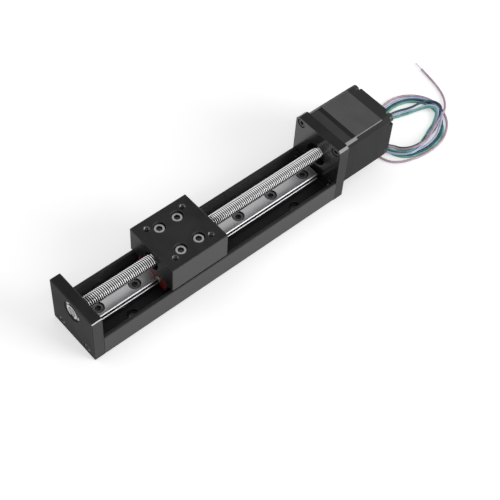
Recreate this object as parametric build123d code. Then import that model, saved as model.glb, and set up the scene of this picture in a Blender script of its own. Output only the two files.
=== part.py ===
"""Screw-driven linear slide with a small stepper motor, 30 mm wide and with 100 mm of travel.

Millimetres. X runs along the rail towards the motor, Z is up, and the origin is the middle of
the underside of the base channel. Each function makes one sub-part where it lies at rest.
"""
import os
from dataclasses import dataclass
from math import pi, radians, sqrt, tan

from build123d import *

# Base channel
body_width = 30.0
base_length = 135.5
floor_thickness = 4.5
wall_thickness = 2.0
edge_chamfer = 0.4
block_edge_chamfer = 0.3
fixing_spacing_x = 96.0
fixing_spacing_y = 17.5
fixing_hole_diameter = 3.4
fixing_counterbore_diameter = 6.0
fixing_counterbore_depth = 2.0

# End plates
front_plate_thickness = 5.5
front_plate_above_axis = 7.5
motor_plate_thickness = 5.5
motor_plate_above_motor = 0.2
plate_corner_chamfer = 1.5
plate_screw_spacing = 18.4
plate_screw_height = 2.9
plate_screw_length = 8.0
plate_head_recess = 2.8
tap_run_out = 0.5

# Rail
rail_width = 9.0
rail_height = 6.5
rail_end_gap = 1.75
rail_hole_pitch = 20.0
rail_hole_end_margin = 5.0
rail_counterbore_diameter = 6.0
rail_counterbore_depth = 3.5
rail_hole_diameter = 3.5
rail_screw_length = 6.0
rail_top_chamfer = 0.35
race_height = 4.2
race_radius = 0.9
race_offset = 0.35

# Carriage and table
carriage_width = 20.0
carriage_ground_gap = 2.2
block_length = 20.0
end_cap_thickness = 4.6
end_cap_inset = 0.2
seal_thickness = 0.8
rail_side_gap = 0.35
seal_gap = 0.3
ball_diameter = 1.5
balls_in_row = 10
return_hole_diameter = 1.9
return_hole_spacing = 14.8
end_screw_spacing = 11.0
end_screw_below_top = 1.9
end_screw_length = 7.8
end_thread_depth = 2.8
block_thread_depth = 3.0
turn_depth = 1.6
table_rest_x = -15.0
table_length = 31.3
table_seat_depth = 1.1
table_wall_gap = 1.4
table_above_axis = 7.8
table_bolt_spacing_x = 10.0
table_bolt_spacing_y = 15.0
table_bolt_length = 12.0
table_head_recess = 4.0
tapped_spacing = 20.0
tapped_depth = 8.0
tapped_bore = 2.54

# Lead screw, nut and bearings
axis_height = 20.0
screw_diameter = 6.0
journal_diameter = 5.0
screw_end_overrun = 1.25
journal_inset = 0.1
journal_overrun = 0.2
nut_body_diameter = 9.6
nut_carriage_gap = 0.7
nut_flange_width = 18.0
nut_flange_height = 10.0
nut_flange_thickness = 2.5
nut_flange_recess = 1.5
nut_flange_rounding = 1.5
nut_screw_spacing = 13.6
nut_screw_length = 6.0
nut_thread_depth = 4.5
nut_front_inset = 2.5
bearing_diameter = 10.0
bearing_width = 4.0
bearing_inner_ring = 6.4
bearing_outer_ring = 8.4
bearing_ball_diameter = 1.5
bearing_ball_count = 7
shield_thickness = 0.3
bearing_lip = 0.7
bearing_lip_bore = 8.4
bearing_flare = 0.6
shield_inset = 0.1
clip_thickness = 0.6
clip_diameter = 7.2
clip_groove_diameter = 4.5
clip_slot = 2.4

# Motor
motor_width = 28.0
motor_chamfer = 2.2
motor_screw_spacing = 23.0
motor_screw_length = 5.0
motor_head_recess = 4.8
front_bell_length = 7.3
stator_length = 16.8
rear_flange_length = 4.0
rear_step_length = 2.7
rear_pocket = 5.3
rear_wall = 0.9
through_screw_length = 25.0
pilot_diameter = 22.0
pilot_depth = 1.5
plate_bore = 12.0
bell_cavity_diameter = 21.0
bell_cavity_depth = 2.3
shaft_hole = 7.4
stator_slot_radius = 10.4
tooth_count = 8
tooth_width = 2.4
tooth_shoe_width = 3.8
tooth_shoe_depth = 1.0
tooth_root = 0.6
air_gap = 0.3
rotor_diameter = 13.0
rotor_stack_length = 6.5
rotor_magnet_length = 2.7
rotor_magnet_diameter = 12.0
coil_width = 4.4
coil_inner_radius = 8.1
coil_outer_radius = 10.0
coil_overhang = 2.0
washer_thickness = 0.3
washer_diameter = 9.7
washer_bore = 7.4
grommet_length = 5.8
grommet_thickness = 2.4
grommet_height = 14.5
grommet_depth = 1.5
grommet_seat_depth = 1.0

# Leads: four wires that leave the motor and lie in a loose coil on the surface under the slide
lead_diameter = 1.2
lead_spacing = 1.45
coil_centre_x = 128.2
coil_centre_y = -4.6
coil_outer_x = 24.8
coil_outer_y = 18.9
coil_hole_centre_x = 130.2
coil_hole_centre_y = -6.4
coil_inner_x = 15.0
coil_inner_y = 8.5
coil_height = 4.0
coil_rounding = 1.2
tip_length = 5.0
tip_diameter = 0.77

# The middle of the four leads on their way down to the coil, and each lead's lane beside it
lead_middle_points = [
    (100.7, 15.5, 14.5),
    (100.7, 19.8, 14.5),
    (102.2, 24.0, 11.4),
    (106.8, 24.2, 6.6),
    (111.4, 22.0, 2.8),
    (114.4, 18.2, 1.2),
    (115.0, 13.6, 1.0),
    (114.0, 9.6, 1.2),
    (112.2, 6.0, 1.8),
]
lead_lanes = {"red": -1.5, "blue": -0.5, "black": 0.5, "green": 1.5}

# The red lead's free end, outside the coil
red_tail_points = [
    (147.6, -12.2, 1.8),
    (153.9, -7.4, 1.1),
    (159.4, -0.9, 0.6),
    (162.4, 8.4, 0.6),
    (164.2, 19.6, 0.6),
]

# Fits
thread_gap = 0.02
slip_gap = 0.05
hole_gap = 0.2
head_gap = 0.25


@dataclass(frozen=True)
class ScrewSize:
    """Sizes of one socket-head cap screw."""

    thread: float
    head_diameter: float
    head_height: float
    socket_width: float
    socket_depth: float


m3 = ScrewSize(3.0, 5.5, 3.0, 2.5, 1.5)
m2_5 = ScrewSize(2.5, 4.5, 2.5, 2.0, 1.2)
m2 = ScrewSize(2.0, 3.8, 2.0, 1.5, 1.0)
m1_6 = ScrewSize(1.6, 2.8, 1.0, 1.2, 0.6)

# Places worked out from the sizes above
front_inner = -base_length / 2
front_outer = front_inner - front_plate_thickness
motor_plate_inner = base_length / 2
motor_face = motor_plate_inner + motor_plate_thickness
stator_start = motor_face + front_bell_length
stator_end = stator_start + stator_length
rear_flange_end = stator_end + rear_flange_length
motor_end = rear_flange_end + rear_step_length
front_plate_height = axis_height + front_plate_above_axis
motor_plate_height = axis_height + motor_width / 2 + motor_plate_above_motor
rail_length = base_length - 2 * rail_end_gap
rail_top = floor_thickness + rail_height
carriage_bottom = floor_thickness + carriage_ground_gap
carriage_top = axis_height - nut_body_diameter / 2 - nut_carriage_gap
end_screw_height = carriage_top - end_screw_below_top
table_underside = carriage_top - table_seat_depth
table_top = axis_height + table_above_axis
wall_height = table_underside - table_wall_gap
carriage_length = block_length + 2 * (end_cap_thickness + seal_thickness)
race_y = rail_width / 2 + race_offset
race_z = floor_thickness + race_height
front_bearing_start = front_inner - bearing_lip - bearing_width
motor_bearing_start = stator_start - bell_cavity_depth - bearing_width
rear_bearing_start = motor_end - rear_wall - bearing_width
thread_start = front_bearing_start + bearing_width
thread_end = motor_plate_inner + screw_end_overrun


def block(x0, x1, y0, y1, z0, z1):
    """Return a box between two corners."""
    return Pos((x0 + x1) / 2, (y0 + y1) / 2, (z0 + z1) / 2) * Box(x1 - x0, y1 - y0, z1 - z0)


def rod(x0, x1, diameter, y=0.0, z=axis_height):
    """Return a cylinder along X."""
    return Pos((x0 + x1) / 2, y, z) * Rot(0, 90, 0) * Cylinder(diameter / 2, x1 - x0)


def ring(x0, x1, outer, inner):
    """Return a ring about the screw's axis."""
    return rod(x0, x1, outer) - rod(x0, x1, inner)


def post(z0, z1, diameter, x=0.0, y=0.0):
    """Return an upright cylinder."""
    return Pos(x, y, (z0 + z1) / 2) * Cylinder(diameter / 2, z1 - z0)


def pairs(spacing_a, spacing_b):
    """Return the four corners of a rectangle of places about zero."""
    return [(a * spacing_a / 2, b * spacing_b / 2) for a in (-1, 1) for b in (-1, 1)]


def cap_screw(size, length):
    """Return a socket-head screw with its seat at zero, its thread down and its head up."""
    head = Pos(0, 0, size.head_height / 2) * Cylinder(size.head_diameter / 2, size.head_height)
    head = chamfer(head.edges().sort_by(Axis.Z)[-1], 0.1 * size.head_height)
    shank = Pos(0, 0, -length / 2) * Cylinder(size.thread / 2, length)
    hexagon = RegularPolygon(size.socket_width / sqrt(3), 6)
    socket = Pos(0, 0, size.head_height - size.socket_depth) * extrude(hexagon, size.socket_depth)
    return head + shank - socket


def tapped(size):
    """Return the diameter of the hole that a screw's thread fills."""
    return size.thread + 2 * thread_gap


def clearance(size):
    """Return the diameter of a hole that a screw passes through."""
    return size.thread + 2 * hole_gap


def recess(size):
    """Return the diameter of the counterbore round a screw's head."""
    return size.head_diameter + 2 * head_gap


def base_channel():
    """The body: a floor between two side walls, with holes for the rail, plates and fixing."""
    half = body_width / 2
    part = block(front_inner, motor_plate_inner, -half, half, 0, wall_height)
    part -= block(front_inner, motor_plate_inner, wall_thickness - half, half - wall_thickness,
                  floor_thickness, wall_height)
    long_edges = part.edges().filter_by(Axis.X)
    part = chamfer(long_edges.group_by(Axis.Z)[-1] + long_edges.group_by(Axis.Z)[0], edge_chamfer)
    for x in rail_hole_places():
        part -= post(floor_thickness - rail_thread_depth() - tap_run_out, floor_thickness, tapped(m3), x)
    for x, y in pairs(fixing_spacing_x, fixing_spacing_y):
        part -= post(0, floor_thickness, fixing_hole_diameter, x, y)
        part -= post(floor_thickness - fixing_counterbore_depth, floor_thickness,
                     fixing_counterbore_diameter, x, y)
    depth = plate_screw_length + 2 * tap_run_out
    for y in (-plate_screw_spacing / 2, plate_screw_spacing / 2):
        part -= rod(front_inner, front_inner + depth, tapped(m2_5), y, plate_screw_height)
        part -= rod(motor_plate_inner - depth, motor_plate_inner, tapped(m2_5), y, plate_screw_height)
    return part


def rail_hole_places():
    """Return the X places of the rail's screws."""
    each_side = int((rail_length / 2 - rail_hole_end_margin) / rail_hole_pitch)
    return [number * rail_hole_pitch for number in range(-each_side, each_side + 1)]


def rail_thread_depth():
    """Return how deep a rail screw goes into the base floor."""
    return rail_screw_length - (rail_height - rail_counterbore_depth)


def rail():
    """The profile rail with a ball groove down each side and counterbored holes."""
    half = rail_width / 2
    part = block(-rail_length / 2, rail_length / 2, -half, half, floor_thickness, rail_top)
    top_edges = part.edges().filter_by(Axis.X).group_by(Axis.Z)[-1]
    part = chamfer(top_edges, rail_top_chamfer)
    for side in (-1, 1):
        part -= rod(-rail_length / 2, rail_length / 2, 2 * race_radius, side * race_y, race_z)
    seat = rail_top - rail_counterbore_depth
    for x in rail_hole_places():
        part -= post(floor_thickness, seat, rail_hole_diameter, x)
        part -= post(seat, rail_top, rail_counterbore_diameter, x)
    return part


def rail_screws():
    """The rail's seven cap screws."""
    seat = rail_top - rail_counterbore_depth
    screw = cap_screw(m3, rail_screw_length)
    return Compound([Pos(x, 0, seat) * screw for x in rail_hole_places()])


def front_plate():
    """The bearing plate at the free end."""
    half = body_width / 2
    part = block(front_outer, front_inner, -half, half, 0, front_plate_height)
    part = chamfer(part.edges(), block_edge_chamfer)
    part -= rod(front_outer, front_inner - bearing_lip, bearing_diameter)
    part -= rod(front_outer, front_inner, bearing_lip_bore)
    mouth = Pos(front_outer, 0, axis_height) * Rot(0, 90, 0)
    flare = Cone(bearing_diameter / 2 + bearing_flare, bearing_diameter / 2, bearing_flare)
    part -= mouth * Pos(0, 0, bearing_flare / 2) * flare
    for y in (-plate_screw_spacing / 2, plate_screw_spacing / 2):
        part -= rod(front_outer, front_inner, clearance(m2_5), y, plate_screw_height)
        part -= rod(front_outer, front_outer + plate_head_recess, recess(m2_5), y, plate_screw_height)
    return part


def front_plate_screws():
    """The two screws that hold the front plate to the base."""
    screw = Rot(0, -90, 0) * cap_screw(m2_5, plate_screw_length)
    seat = front_outer + plate_head_recess
    return Compound([Pos(seat, y, plate_screw_height) * screw
                     for y in (-plate_screw_spacing / 2, plate_screw_spacing / 2)])


def motor_plate():
    """The plate that joins the motor to the base."""
    half = body_width / 2
    part = block(motor_plate_inner, motor_face, -half, half, 0, motor_plate_height)
    part = chamfer(part.edges().filter_by(Axis.X).group_by(Axis.Z)[-1], plate_corner_chamfer)
    part -= rod(motor_plate_inner, motor_face, plate_bore)
    part -= rod(motor_face - pilot_depth - slip_gap, motor_face, pilot_diameter + 2 * slip_gap)
    for y, z in pairs(motor_screw_spacing, motor_screw_spacing):
        part -= rod(motor_plate_inner, motor_face, clearance(m2_5), y, axis_height + z)
        part -= rod(motor_plate_inner, motor_plate_inner + plate_head_recess, motor_head_recess, y,
                    axis_height + z)
    for y in (-plate_screw_spacing / 2, plate_screw_spacing / 2):
        part -= rod(motor_plate_inner, motor_face, clearance(m2_5), y, plate_screw_height)
        part -= rod(motor_face - plate_head_recess, motor_face, recess(m2_5), y, plate_screw_height)
    return part


def motor_plate_screws():
    """The two screws that hold the motor plate to the base."""
    screw = Rot(0, 90, 0) * cap_screw(m2_5, plate_screw_length)
    seat = motor_face - plate_head_recess
    return Compound([Pos(seat, y, plate_screw_height) * screw
                     for y in (-plate_screw_spacing / 2, plate_screw_spacing / 2)])


def motor_screws():
    """The four screws that hold the motor to its plate."""
    screw = Rot(0, -90, 0) * cap_screw(m2_5, motor_screw_length)
    seat = motor_plate_inner + plate_head_recess
    return Compound([Pos(seat, y, axis_height + z) * screw
                     for y, z in pairs(motor_screw_spacing, motor_screw_spacing)])


def lead_screw():
    """The lead screw, one piece with its bearing journal and the motor's shaft."""
    part = rod(thread_start, thread_end, screw_diameter)
    part = chamfer(part.edges().filter_by(GeomType.CIRCLE), 0.4)
    part += rod(front_outer + journal_inset, thread_start, journal_diameter)
    part += rod(thread_end, rear_bearing_start + bearing_width + journal_overrun, journal_diameter)
    part -= ring(front_bearing_start - clip_thickness, front_bearing_start, journal_diameter,
                 clip_groove_diameter)
    return part


def retaining_clip():
    """The open ring that holds the screw's end in the front bearing."""
    start = front_bearing_start - clip_thickness
    part = ring(start, front_bearing_start, clip_diameter, clip_groove_diameter)
    slot = block(start, front_bearing_start, -clip_slot / 2, clip_slot / 2, axis_height - clip_diameter,
                 axis_height)
    return part - slot


def bearing_outer(start):
    """The fixed ring of a ball bearing, with its race."""
    part = ring(start, start + bearing_width, bearing_diameter, bearing_outer_ring)
    return part - race_cut(start)


def bearing_inner(start):
    """The turning ring of a ball bearing, with its race."""
    part = ring(start, start + bearing_width, bearing_inner_ring, journal_diameter)
    return part - race_cut(start)


def race_cut(start):
    """The ring-shaped groove that the balls of a bearing run in."""
    middle = Pos(start + bearing_width / 2, 0, axis_height) * Rot(0, 90, 0)
    return middle * Torus(ball_circle_radius(), bearing_ball_diameter / 2 + slip_gap)


def ball_circle_radius():
    """Return the radius of the circle through a bearing's balls."""
    return (bearing_inner_ring + bearing_outer_ring) / 4


def bearing_balls(start):
    """The balls of a bearing."""
    middle = Pos(start + bearing_width / 2, 0, axis_height)
    places = PolarLocations(ball_circle_radius(), bearing_ball_count)
    return Compound([middle * Rot(0, 90, 0) * place * Sphere(bearing_ball_diameter / 2)
                     for place in places])


def bearing_shields(start):
    """The two thin shields that close a bearing."""
    gap = 2 * slip_gap
    near_start = start + shield_inset
    near = ring(near_start, near_start + shield_thickness, bearing_outer_ring, bearing_inner_ring + gap)
    far_start = start + bearing_width - shield_inset - shield_thickness
    far = ring(far_start, far_start + shield_thickness, bearing_outer_ring, bearing_inner_ring + gap)
    return Compound([near, far])


def carriage_channel(x0, x1, gap):
    """The space that the rail takes in a carriage part, with a gap all round it."""
    half = rail_width / 2 + gap
    return block(x0, x1, -half, half, 0, rail_top + gap)


def carriage_block():
    """The steel runner block, with ball races, return holes and tapped holes."""
    x0 = table_rest_x - block_length / 2
    x1 = table_rest_x + block_length / 2
    half = carriage_width / 2
    part = block(x0, x1, -half, half, carriage_bottom, carriage_top)
    part = chamfer(part.edges().filter_by(Axis.X), edge_chamfer)
    part -= carriage_channel(x0, x1, rail_side_gap)
    for side in (-1, 1):
        part -= rod(x0, x1, 2 * race_radius, side * race_y, race_z)
        part -= rod(x0, x1, return_hole_diameter, side * return_hole_spacing / 2, race_z)
    for x, y in pairs(table_bolt_spacing_x, table_bolt_spacing_y):
        part -= post(carriage_top - block_thread_depth, carriage_top, tapped(m3), table_rest_x + x, y)
    middle = block_length / 2 - end_thread_depth / 2
    for x, y in pairs(2 * middle, end_screw_spacing):
        part -= rod(table_rest_x + x - end_thread_depth / 2, table_rest_x + x + end_thread_depth / 2,
                    tapped(m1_6), y, end_screw_height)
    return part


def carriage_balls():
    """The loaded balls between the rail and the block, one row on each side."""
    pitch = (block_length - 2 * ball_diameter) / (balls_in_row - 1)
    start = table_rest_x - (balls_in_row - 1) / 2 * pitch
    return Compound([Pos(start + number * pitch, side * race_y, race_z) * Sphere(ball_diameter / 2)
                     for number in range(balls_in_row) for side in (-1, 1)])


def carriage_end(side, offset, thickness, inset, gap):
    """A plate across one end of the carriage, shaped round the rail, with two screw holes."""
    near = table_rest_x + side * (block_length / 2 + offset)
    x0 = min(near, near + side * thickness)
    x1 = x0 + thickness
    half = carriage_width / 2 - inset
    part = block(x0, x1, -half, half, carriage_bottom + inset, carriage_top - inset)
    part = chamfer(part.edges().filter_by(Axis.X), 2 * edge_chamfer)
    part -= carriage_channel(x0, x1, gap)
    for y in (-end_screw_spacing / 2, end_screw_spacing / 2):
        part -= rod(x0, x1, clearance(m1_6), y, end_screw_height)
    return part


def end_cap(side):
    """The plastic cap that turns the balls round at one end of the carriage."""
    part = carriage_end(side, 0.0, end_cap_thickness, end_cap_inset, rail_side_gap)
    inner = table_rest_x + side * block_length / 2
    x0 = min(inner, inner + side * turn_depth)
    for y_side in (-1, 1):
        y0 = min(y_side * race_y, y_side * return_hole_spacing / 2) - ball_diameter / 2
        y1 = max(y_side * race_y, y_side * return_hole_spacing / 2) + ball_diameter / 2
        part -= block(x0, x0 + turn_depth, y0, y1, race_z - return_hole_diameter / 2,
                      race_z + return_hole_diameter / 2)
    return part


def end_seal(side):
    """The wiper plate outside an end cap."""
    return carriage_end(side, end_cap_thickness, seal_thickness, 2 * end_cap_inset, seal_gap)


def end_cap_screws():
    """The four small screws through the seals and caps into the block."""
    reach = block_length / 2 + end_cap_thickness + seal_thickness
    near = Rot(0, -90, 0) * cap_screw(m1_6, end_screw_length)
    far = Rot(0, 90, 0) * cap_screw(m1_6, end_screw_length)
    places = (-end_screw_spacing / 2, end_screw_spacing / 2)
    screws = [Pos(table_rest_x - reach, y, end_screw_height) * near for y in places]
    screws += [Pos(table_rest_x + reach, y, end_screw_height) * far for y in places]
    return Compound(screws)


def slider_table():
    """The moving block: pocket over the carriage, bore for the nut, four bolts, four tapped holes."""
    x0 = table_rest_x - table_length / 2
    x1 = table_rest_x + table_length / 2
    half = body_width / 2
    part = block(x0, x1, -half, half, table_underside, table_top)
    part = chamfer(part.edges(), block_edge_chamfer)
    pocket = carriage_width / 2 + slip_gap
    part -= block(x0, x1, -pocket, pocket, table_underside, carriage_top)
    part -= rod(x0, x1, nut_body_diameter + 2 * slip_gap)
    seat = x1 - nut_flange_recess - nut_flange_thickness
    part -= block(seat, x1, -nut_flange_width / 2 - slip_gap, nut_flange_width / 2 + slip_gap,
                  axis_height - nut_flange_height / 2 - slip_gap,
                  axis_height + nut_flange_height / 2 + slip_gap)
    for y in (-nut_screw_spacing / 2, nut_screw_spacing / 2):
        part -= rod(seat - nut_thread_depth, seat, tapped(m2), y)
    for x, y in pairs(table_bolt_spacing_x, table_bolt_spacing_y):
        part -= post(table_underside, table_top, clearance(m3), table_rest_x + x, y)
        part -= post(table_top - table_head_recess, table_top, recess(m3), table_rest_x + x, y)
    for x, y in pairs(tapped_spacing, tapped_spacing):
        part -= post(table_top - tapped_depth, table_top, tapped_bore, table_rest_x + x, y)
        mouth = Cone(tapped_bore / 2, tapped_bore / 2 + edge_chamfer, edge_chamfer)
        part -= Pos(table_rest_x + x, y, table_top - edge_chamfer / 2) * mouth
    return part


def table_screws():
    """The four bolts that hold the table on the carriage."""
    screw = cap_screw(m3, table_bolt_length)
    seat = table_top - table_head_recess
    return Compound([Pos(table_rest_x + x, y, seat) * screw
                     for x, y in pairs(table_bolt_spacing_x, table_bolt_spacing_y)])


def lead_nut():
    """The resin nut: a round body through the table and a flange let into its rear face."""
    x0 = table_rest_x - table_length / 2 + nut_front_inset
    x1 = table_rest_x + table_length / 2 - nut_flange_recess
    flange = block(x1 - nut_flange_thickness, x1, -nut_flange_width / 2, nut_flange_width / 2,
                   axis_height - nut_flange_height / 2, axis_height + nut_flange_height / 2)
    flange = fillet(flange.edges().filter_by(Axis.X), nut_flange_rounding)
    part = flange + rod(x0, x1, nut_body_diameter)
    part -= rod(x0, x1, screw_diameter + 2 * slip_gap)
    for y in (-nut_screw_spacing / 2, nut_screw_spacing / 2):
        part -= rod(x1 - nut_flange_thickness, x1, tapped(m2), y)
    return part


def nut_screws():
    """The two screws that hold the nut's flange to the table."""
    x1 = table_rest_x + table_length / 2 - nut_flange_recess
    screw = Rot(0, 90, 0) * cap_screw(m2, nut_screw_length)
    return Compound([Pos(x1, y, axis_height) * screw
                     for y in (-nut_screw_spacing / 2, nut_screw_spacing / 2)])


def motor_square(x0, x1):
    """A length of the motor's square section with its four long edges cut off."""
    half = motor_width / 2
    part = block(x0, x1, -half, half, axis_height - half, axis_height + half)
    return chamfer(part.edges().filter_by(Axis.X), motor_chamfer)


def front_bell():
    """The motor's front bell with its pilot boss, bearing seat and tapped holes."""
    part = motor_square(motor_face, stator_start) + rod(motor_face - pilot_depth, motor_face, pilot_diameter)
    part -= rod(stator_start - bell_cavity_depth, stator_start, bell_cavity_diameter)
    part -= rod(motor_bearing_start, stator_start, bearing_diameter)
    part -= rod(motor_face - pilot_depth, stator_start, shaft_hole)
    for y, z in pairs(motor_screw_spacing, motor_screw_spacing):
        part -= rod(motor_face, stator_start, tapped(m2_5), y, axis_height + z)
    return part


def stator():
    """The motor's laminated stack with eight wound teeth."""
    section = Rectangle(motor_width, motor_width)
    section = chamfer(section.vertices(), motor_chamfer)
    section -= Circle(stator_slot_radius)
    bore = rotor_diameter / 2 + air_gap
    for place in PolarLocations(0, tooth_count):
        tooth = Pos((bore + stator_slot_radius) / 2, 0)
        section += place * tooth * Rectangle(stator_slot_radius - bore + tooth_root, tooth_width)
        shoe = Pos(bore + tooth_shoe_depth / 2, 0)
        section += place * shoe * Rectangle(tooth_shoe_depth, tooth_shoe_width)
    section -= Circle(bore)
    for y, z in pairs(motor_screw_spacing, motor_screw_spacing):
        section -= Pos(y, z) * Circle(clearance(m2_5) / 2)
    return Pos(stator_start, 0, axis_height) * Rot(0, 90, 0) * extrude(section, stator_length)


def stator_coils():
    """The eight coils on the stator's teeth."""
    middle = Pos((stator_start + stator_end) / 2, 0, axis_height) * Rot(0, 90, 0)
    depth = coil_outer_radius - coil_inner_radius
    winding = Box(depth, coil_width, stator_length + 2 * coil_overhang)
    winding -= Box(depth, tooth_width + 2 * slip_gap, stator_length + 2 * slip_gap)
    reach = Pos((coil_outer_radius + coil_inner_radius) / 2, 0, 0)
    return Compound([middle * place * reach * winding for place in PolarLocations(0, tooth_count)])


def rear_bell():
    """The motor's rear bell: a square flange and a raised middle that leaves its corners free."""
    part = motor_square(stator_end, motor_end)
    half = motor_width / 2
    for y_side in (-1, 1):
        for z_side in (-1, 1):
            y = y_side * (half - rear_pocket / 2)
            z = axis_height + z_side * (half - rear_pocket / 2)
            part -= Pos((rear_flange_end + motor_end) / 2, y, z) * Box(
                motor_end - rear_flange_end, rear_pocket, rear_pocket)
    part = chamfer(part.faces().sort_by(Axis.X)[-1].outer_wire().edges(), edge_chamfer)
    part -= rod(stator_end, stator_end + bell_cavity_depth, bell_cavity_diameter)
    part -= rod(stator_end, motor_end - rear_wall / 2, bearing_diameter)
    for y, z in pairs(motor_screw_spacing, motor_screw_spacing):
        part -= rod(stator_end, rear_flange_end, clearance(m2_5), y, axis_height + z)
    part -= grommet_box(half - grommet_seat_depth, half)
    return part


def rear_screws():
    """The four long screws through the motor."""
    screw = Rot(0, 90, 0) * cap_screw(m2_5, through_screw_length)
    return Compound([Pos(rear_flange_end, y, axis_height + z) * screw
                     for y, z in pairs(motor_screw_spacing, motor_screw_spacing)])


def wave_washer():
    """The spring washer behind the rear bearing."""
    start = rear_bearing_start + bearing_width
    return ring(start + slip_gap, start + slip_gap + washer_thickness, washer_diameter, washer_bore)


def rotor_stack(number):
    """One of the rotor's two toothed stacks."""
    middle = (stator_start + stator_end) / 2
    start = middle - rotor_magnet_length / 2 - rotor_stack_length
    if number == 2:
        start = middle + rotor_magnet_length / 2
    return ring(start, start + rotor_stack_length, rotor_diameter, journal_diameter)


def rotor_magnet():
    """The magnet between the rotor's stacks."""
    middle = (stator_start + stator_end) / 2
    return ring(middle - rotor_magnet_length / 2, middle + rotor_magnet_length / 2,
                rotor_magnet_diameter, journal_diameter)


def grommet_x():
    """Return the X place of the middle of the grommet."""
    return (stator_end + motor_end) / 2


def grommet_box(y0, y1):
    """Return the grommet's section between two places along Y."""
    half = grommet_length / 2
    return block(grommet_x() - half, grommet_x() + half, y0, y1, grommet_height - grommet_thickness / 2,
                 grommet_height + grommet_thickness / 2)


def grommet():
    """The bush that the leads come out of, on the far side of the rear bell."""
    half = motor_width / 2
    return grommet_box(half - grommet_seat_depth, half + grommet_depth)


def lead_route(colour):
    """Return the points of one lead: the middle route, moved sideways to the lead's own lane."""
    shift = lead_lanes[colour] * lead_spacing
    points = []
    for number, (x, y, z) in enumerate(lead_middle_points):
        before = lead_middle_points[max(number - 1, 0)]
        after = lead_middle_points[min(number + 1, len(lead_middle_points) - 1)]
        forward = Vector(after[0] - before[0], after[1] - before[1], 0).normalized()
        points.append((x - shift * forward.Y, y + shift * forward.X, z))
    return points


def corner_radii(points):
    """Return the radius of the arc at each corner: 0.45 of the shorter run over tan(half turn)."""
    radii = []
    for before, corner, after in zip(points, points[1:], points[2:]):
        first = Vector(*corner) - Vector(*before)
        second = Vector(*after) - Vector(*corner)
        turn = radians(first.get_angle(second))
        radii.append(0.45 * min(first.length, second.length) / tan(turn / 2))
    return radii


def lead_tube(points, name):
    """Return the tube of one stretch of lead, and print its radii and its volume check."""
    radii = corner_radii(points)
    path = FilletPolyline(*points, radius=radii)
    profile = Plane(origin=path @ 0, z_dir=path % 0) * Circle(lead_diameter / 2)
    tube = sweep(profile, path=path)
    expected = pi * lead_diameter ** 2 / 4 * path.length
    print(name, "length", round(path.length, 1), "radii", [round(radius, 1) for radius in radii],
          "volume ratio", round(tube.volume / expected, 4))
    outside = tube - wire_coil()
    return outside.solids().sort_by(SortBy.VOLUME)[-1]


def wire_coil():
    """The outer shape of the loose coil that the four leads lie in."""
    outline = Pos(coil_centre_x, coil_centre_y) * Ellipse(coil_outer_x, coil_outer_y)
    outline -= Pos(coil_hole_centre_x, coil_hole_centre_y) * Ellipse(coil_inner_x, coil_inner_y)
    part = extrude(outline, coil_height)
    return fillet(part.edges().group_by(Axis.Z)[-1], coil_rounding)


def red_tip():
    """The tinned end of the red lead."""
    end = Vector(*red_tail_points[-1])
    along = (end - Vector(*red_tail_points[-2])).normalized()
    tip = extrude(Circle(tip_diameter / 2), tip_length)
    return Plane(origin=end, z_dir=along) * tip


def write(name, shape):
    """Write one node as a STEP file."""
    export_step(shape, os.path.join("parts", name + ".step"))


def main():
    """Make every node and write it."""
    os.makedirs("parts", exist_ok=True)
    write("base_channel", base_channel())
    write("rail", rail())
    write("rail_screws", rail_screws())
    write("front_plate", front_plate())
    write("front_plate_screws", front_plate_screws())
    write("motor_plate", motor_plate())
    write("motor_plate_screws", motor_plate_screws())
    write("motor_screws", motor_screws())
    write("lead_screw", lead_screw())
    write("retaining_clip", retaining_clip())
    starts = {"front": front_bearing_start, "motor_front": motor_bearing_start,
              "motor_rear": rear_bearing_start}
    for place, start in starts.items():
        write(place + "_bearing_outer", bearing_outer(start))
        write(place + "_bearing_inner", bearing_inner(start))
        write(place + "_bearing_shields", bearing_shields(start))
    write("front_bearing_balls", bearing_balls(front_bearing_start))
    write("carriage_block", carriage_block())
    write("carriage_balls", carriage_balls())
    for side, place in ((-1, "front"), (1, "rear")):
        write("end_cap_" + place, end_cap(side))
        write("end_seal_" + place, end_seal(side))
    write("end_cap_screws", end_cap_screws())
    write("slider_table", slider_table())
    write("table_screws", table_screws())
    write("lead_nut", lead_nut())
    write("nut_screws", nut_screws())
    write("motor_front_bell", front_bell())
    write("motor_stator", stator())
    write("motor_coils", stator_coils())
    write("motor_rear_bell", rear_bell())
    write("motor_rear_screws", rear_screws())
    write("wave_washer", wave_washer())
    write("rotor_stack_1", rotor_stack(1))
    write("rotor_stack_2", rotor_stack(2))
    write("rotor_magnet", rotor_magnet())
    write("lead_grommet", grommet())
    for colour in lead_lanes:
        write("lead_" + colour, lead_tube(lead_route(colour), "lead_" + colour))
    write("lead_red_tail", lead_tube(red_tail_points, "lead_red_tail"))
    write("lead_red_tip", red_tip())
    write("wire_coil", wire_coil())


if __name__ == "__main__":
    main()
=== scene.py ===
"""Scene of a screw-driven linear slide: its finishes, screw thread, leads, lights and camera.

Metres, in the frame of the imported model. X runs along the rail towards the motor and Z is up.
"""

import logging
from dataclasses import dataclass, replace
from enum import Enum
from math import cos, pi, radians, sin

import bpy
import numpy as np
from mathutils import Matrix, Vector


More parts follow.
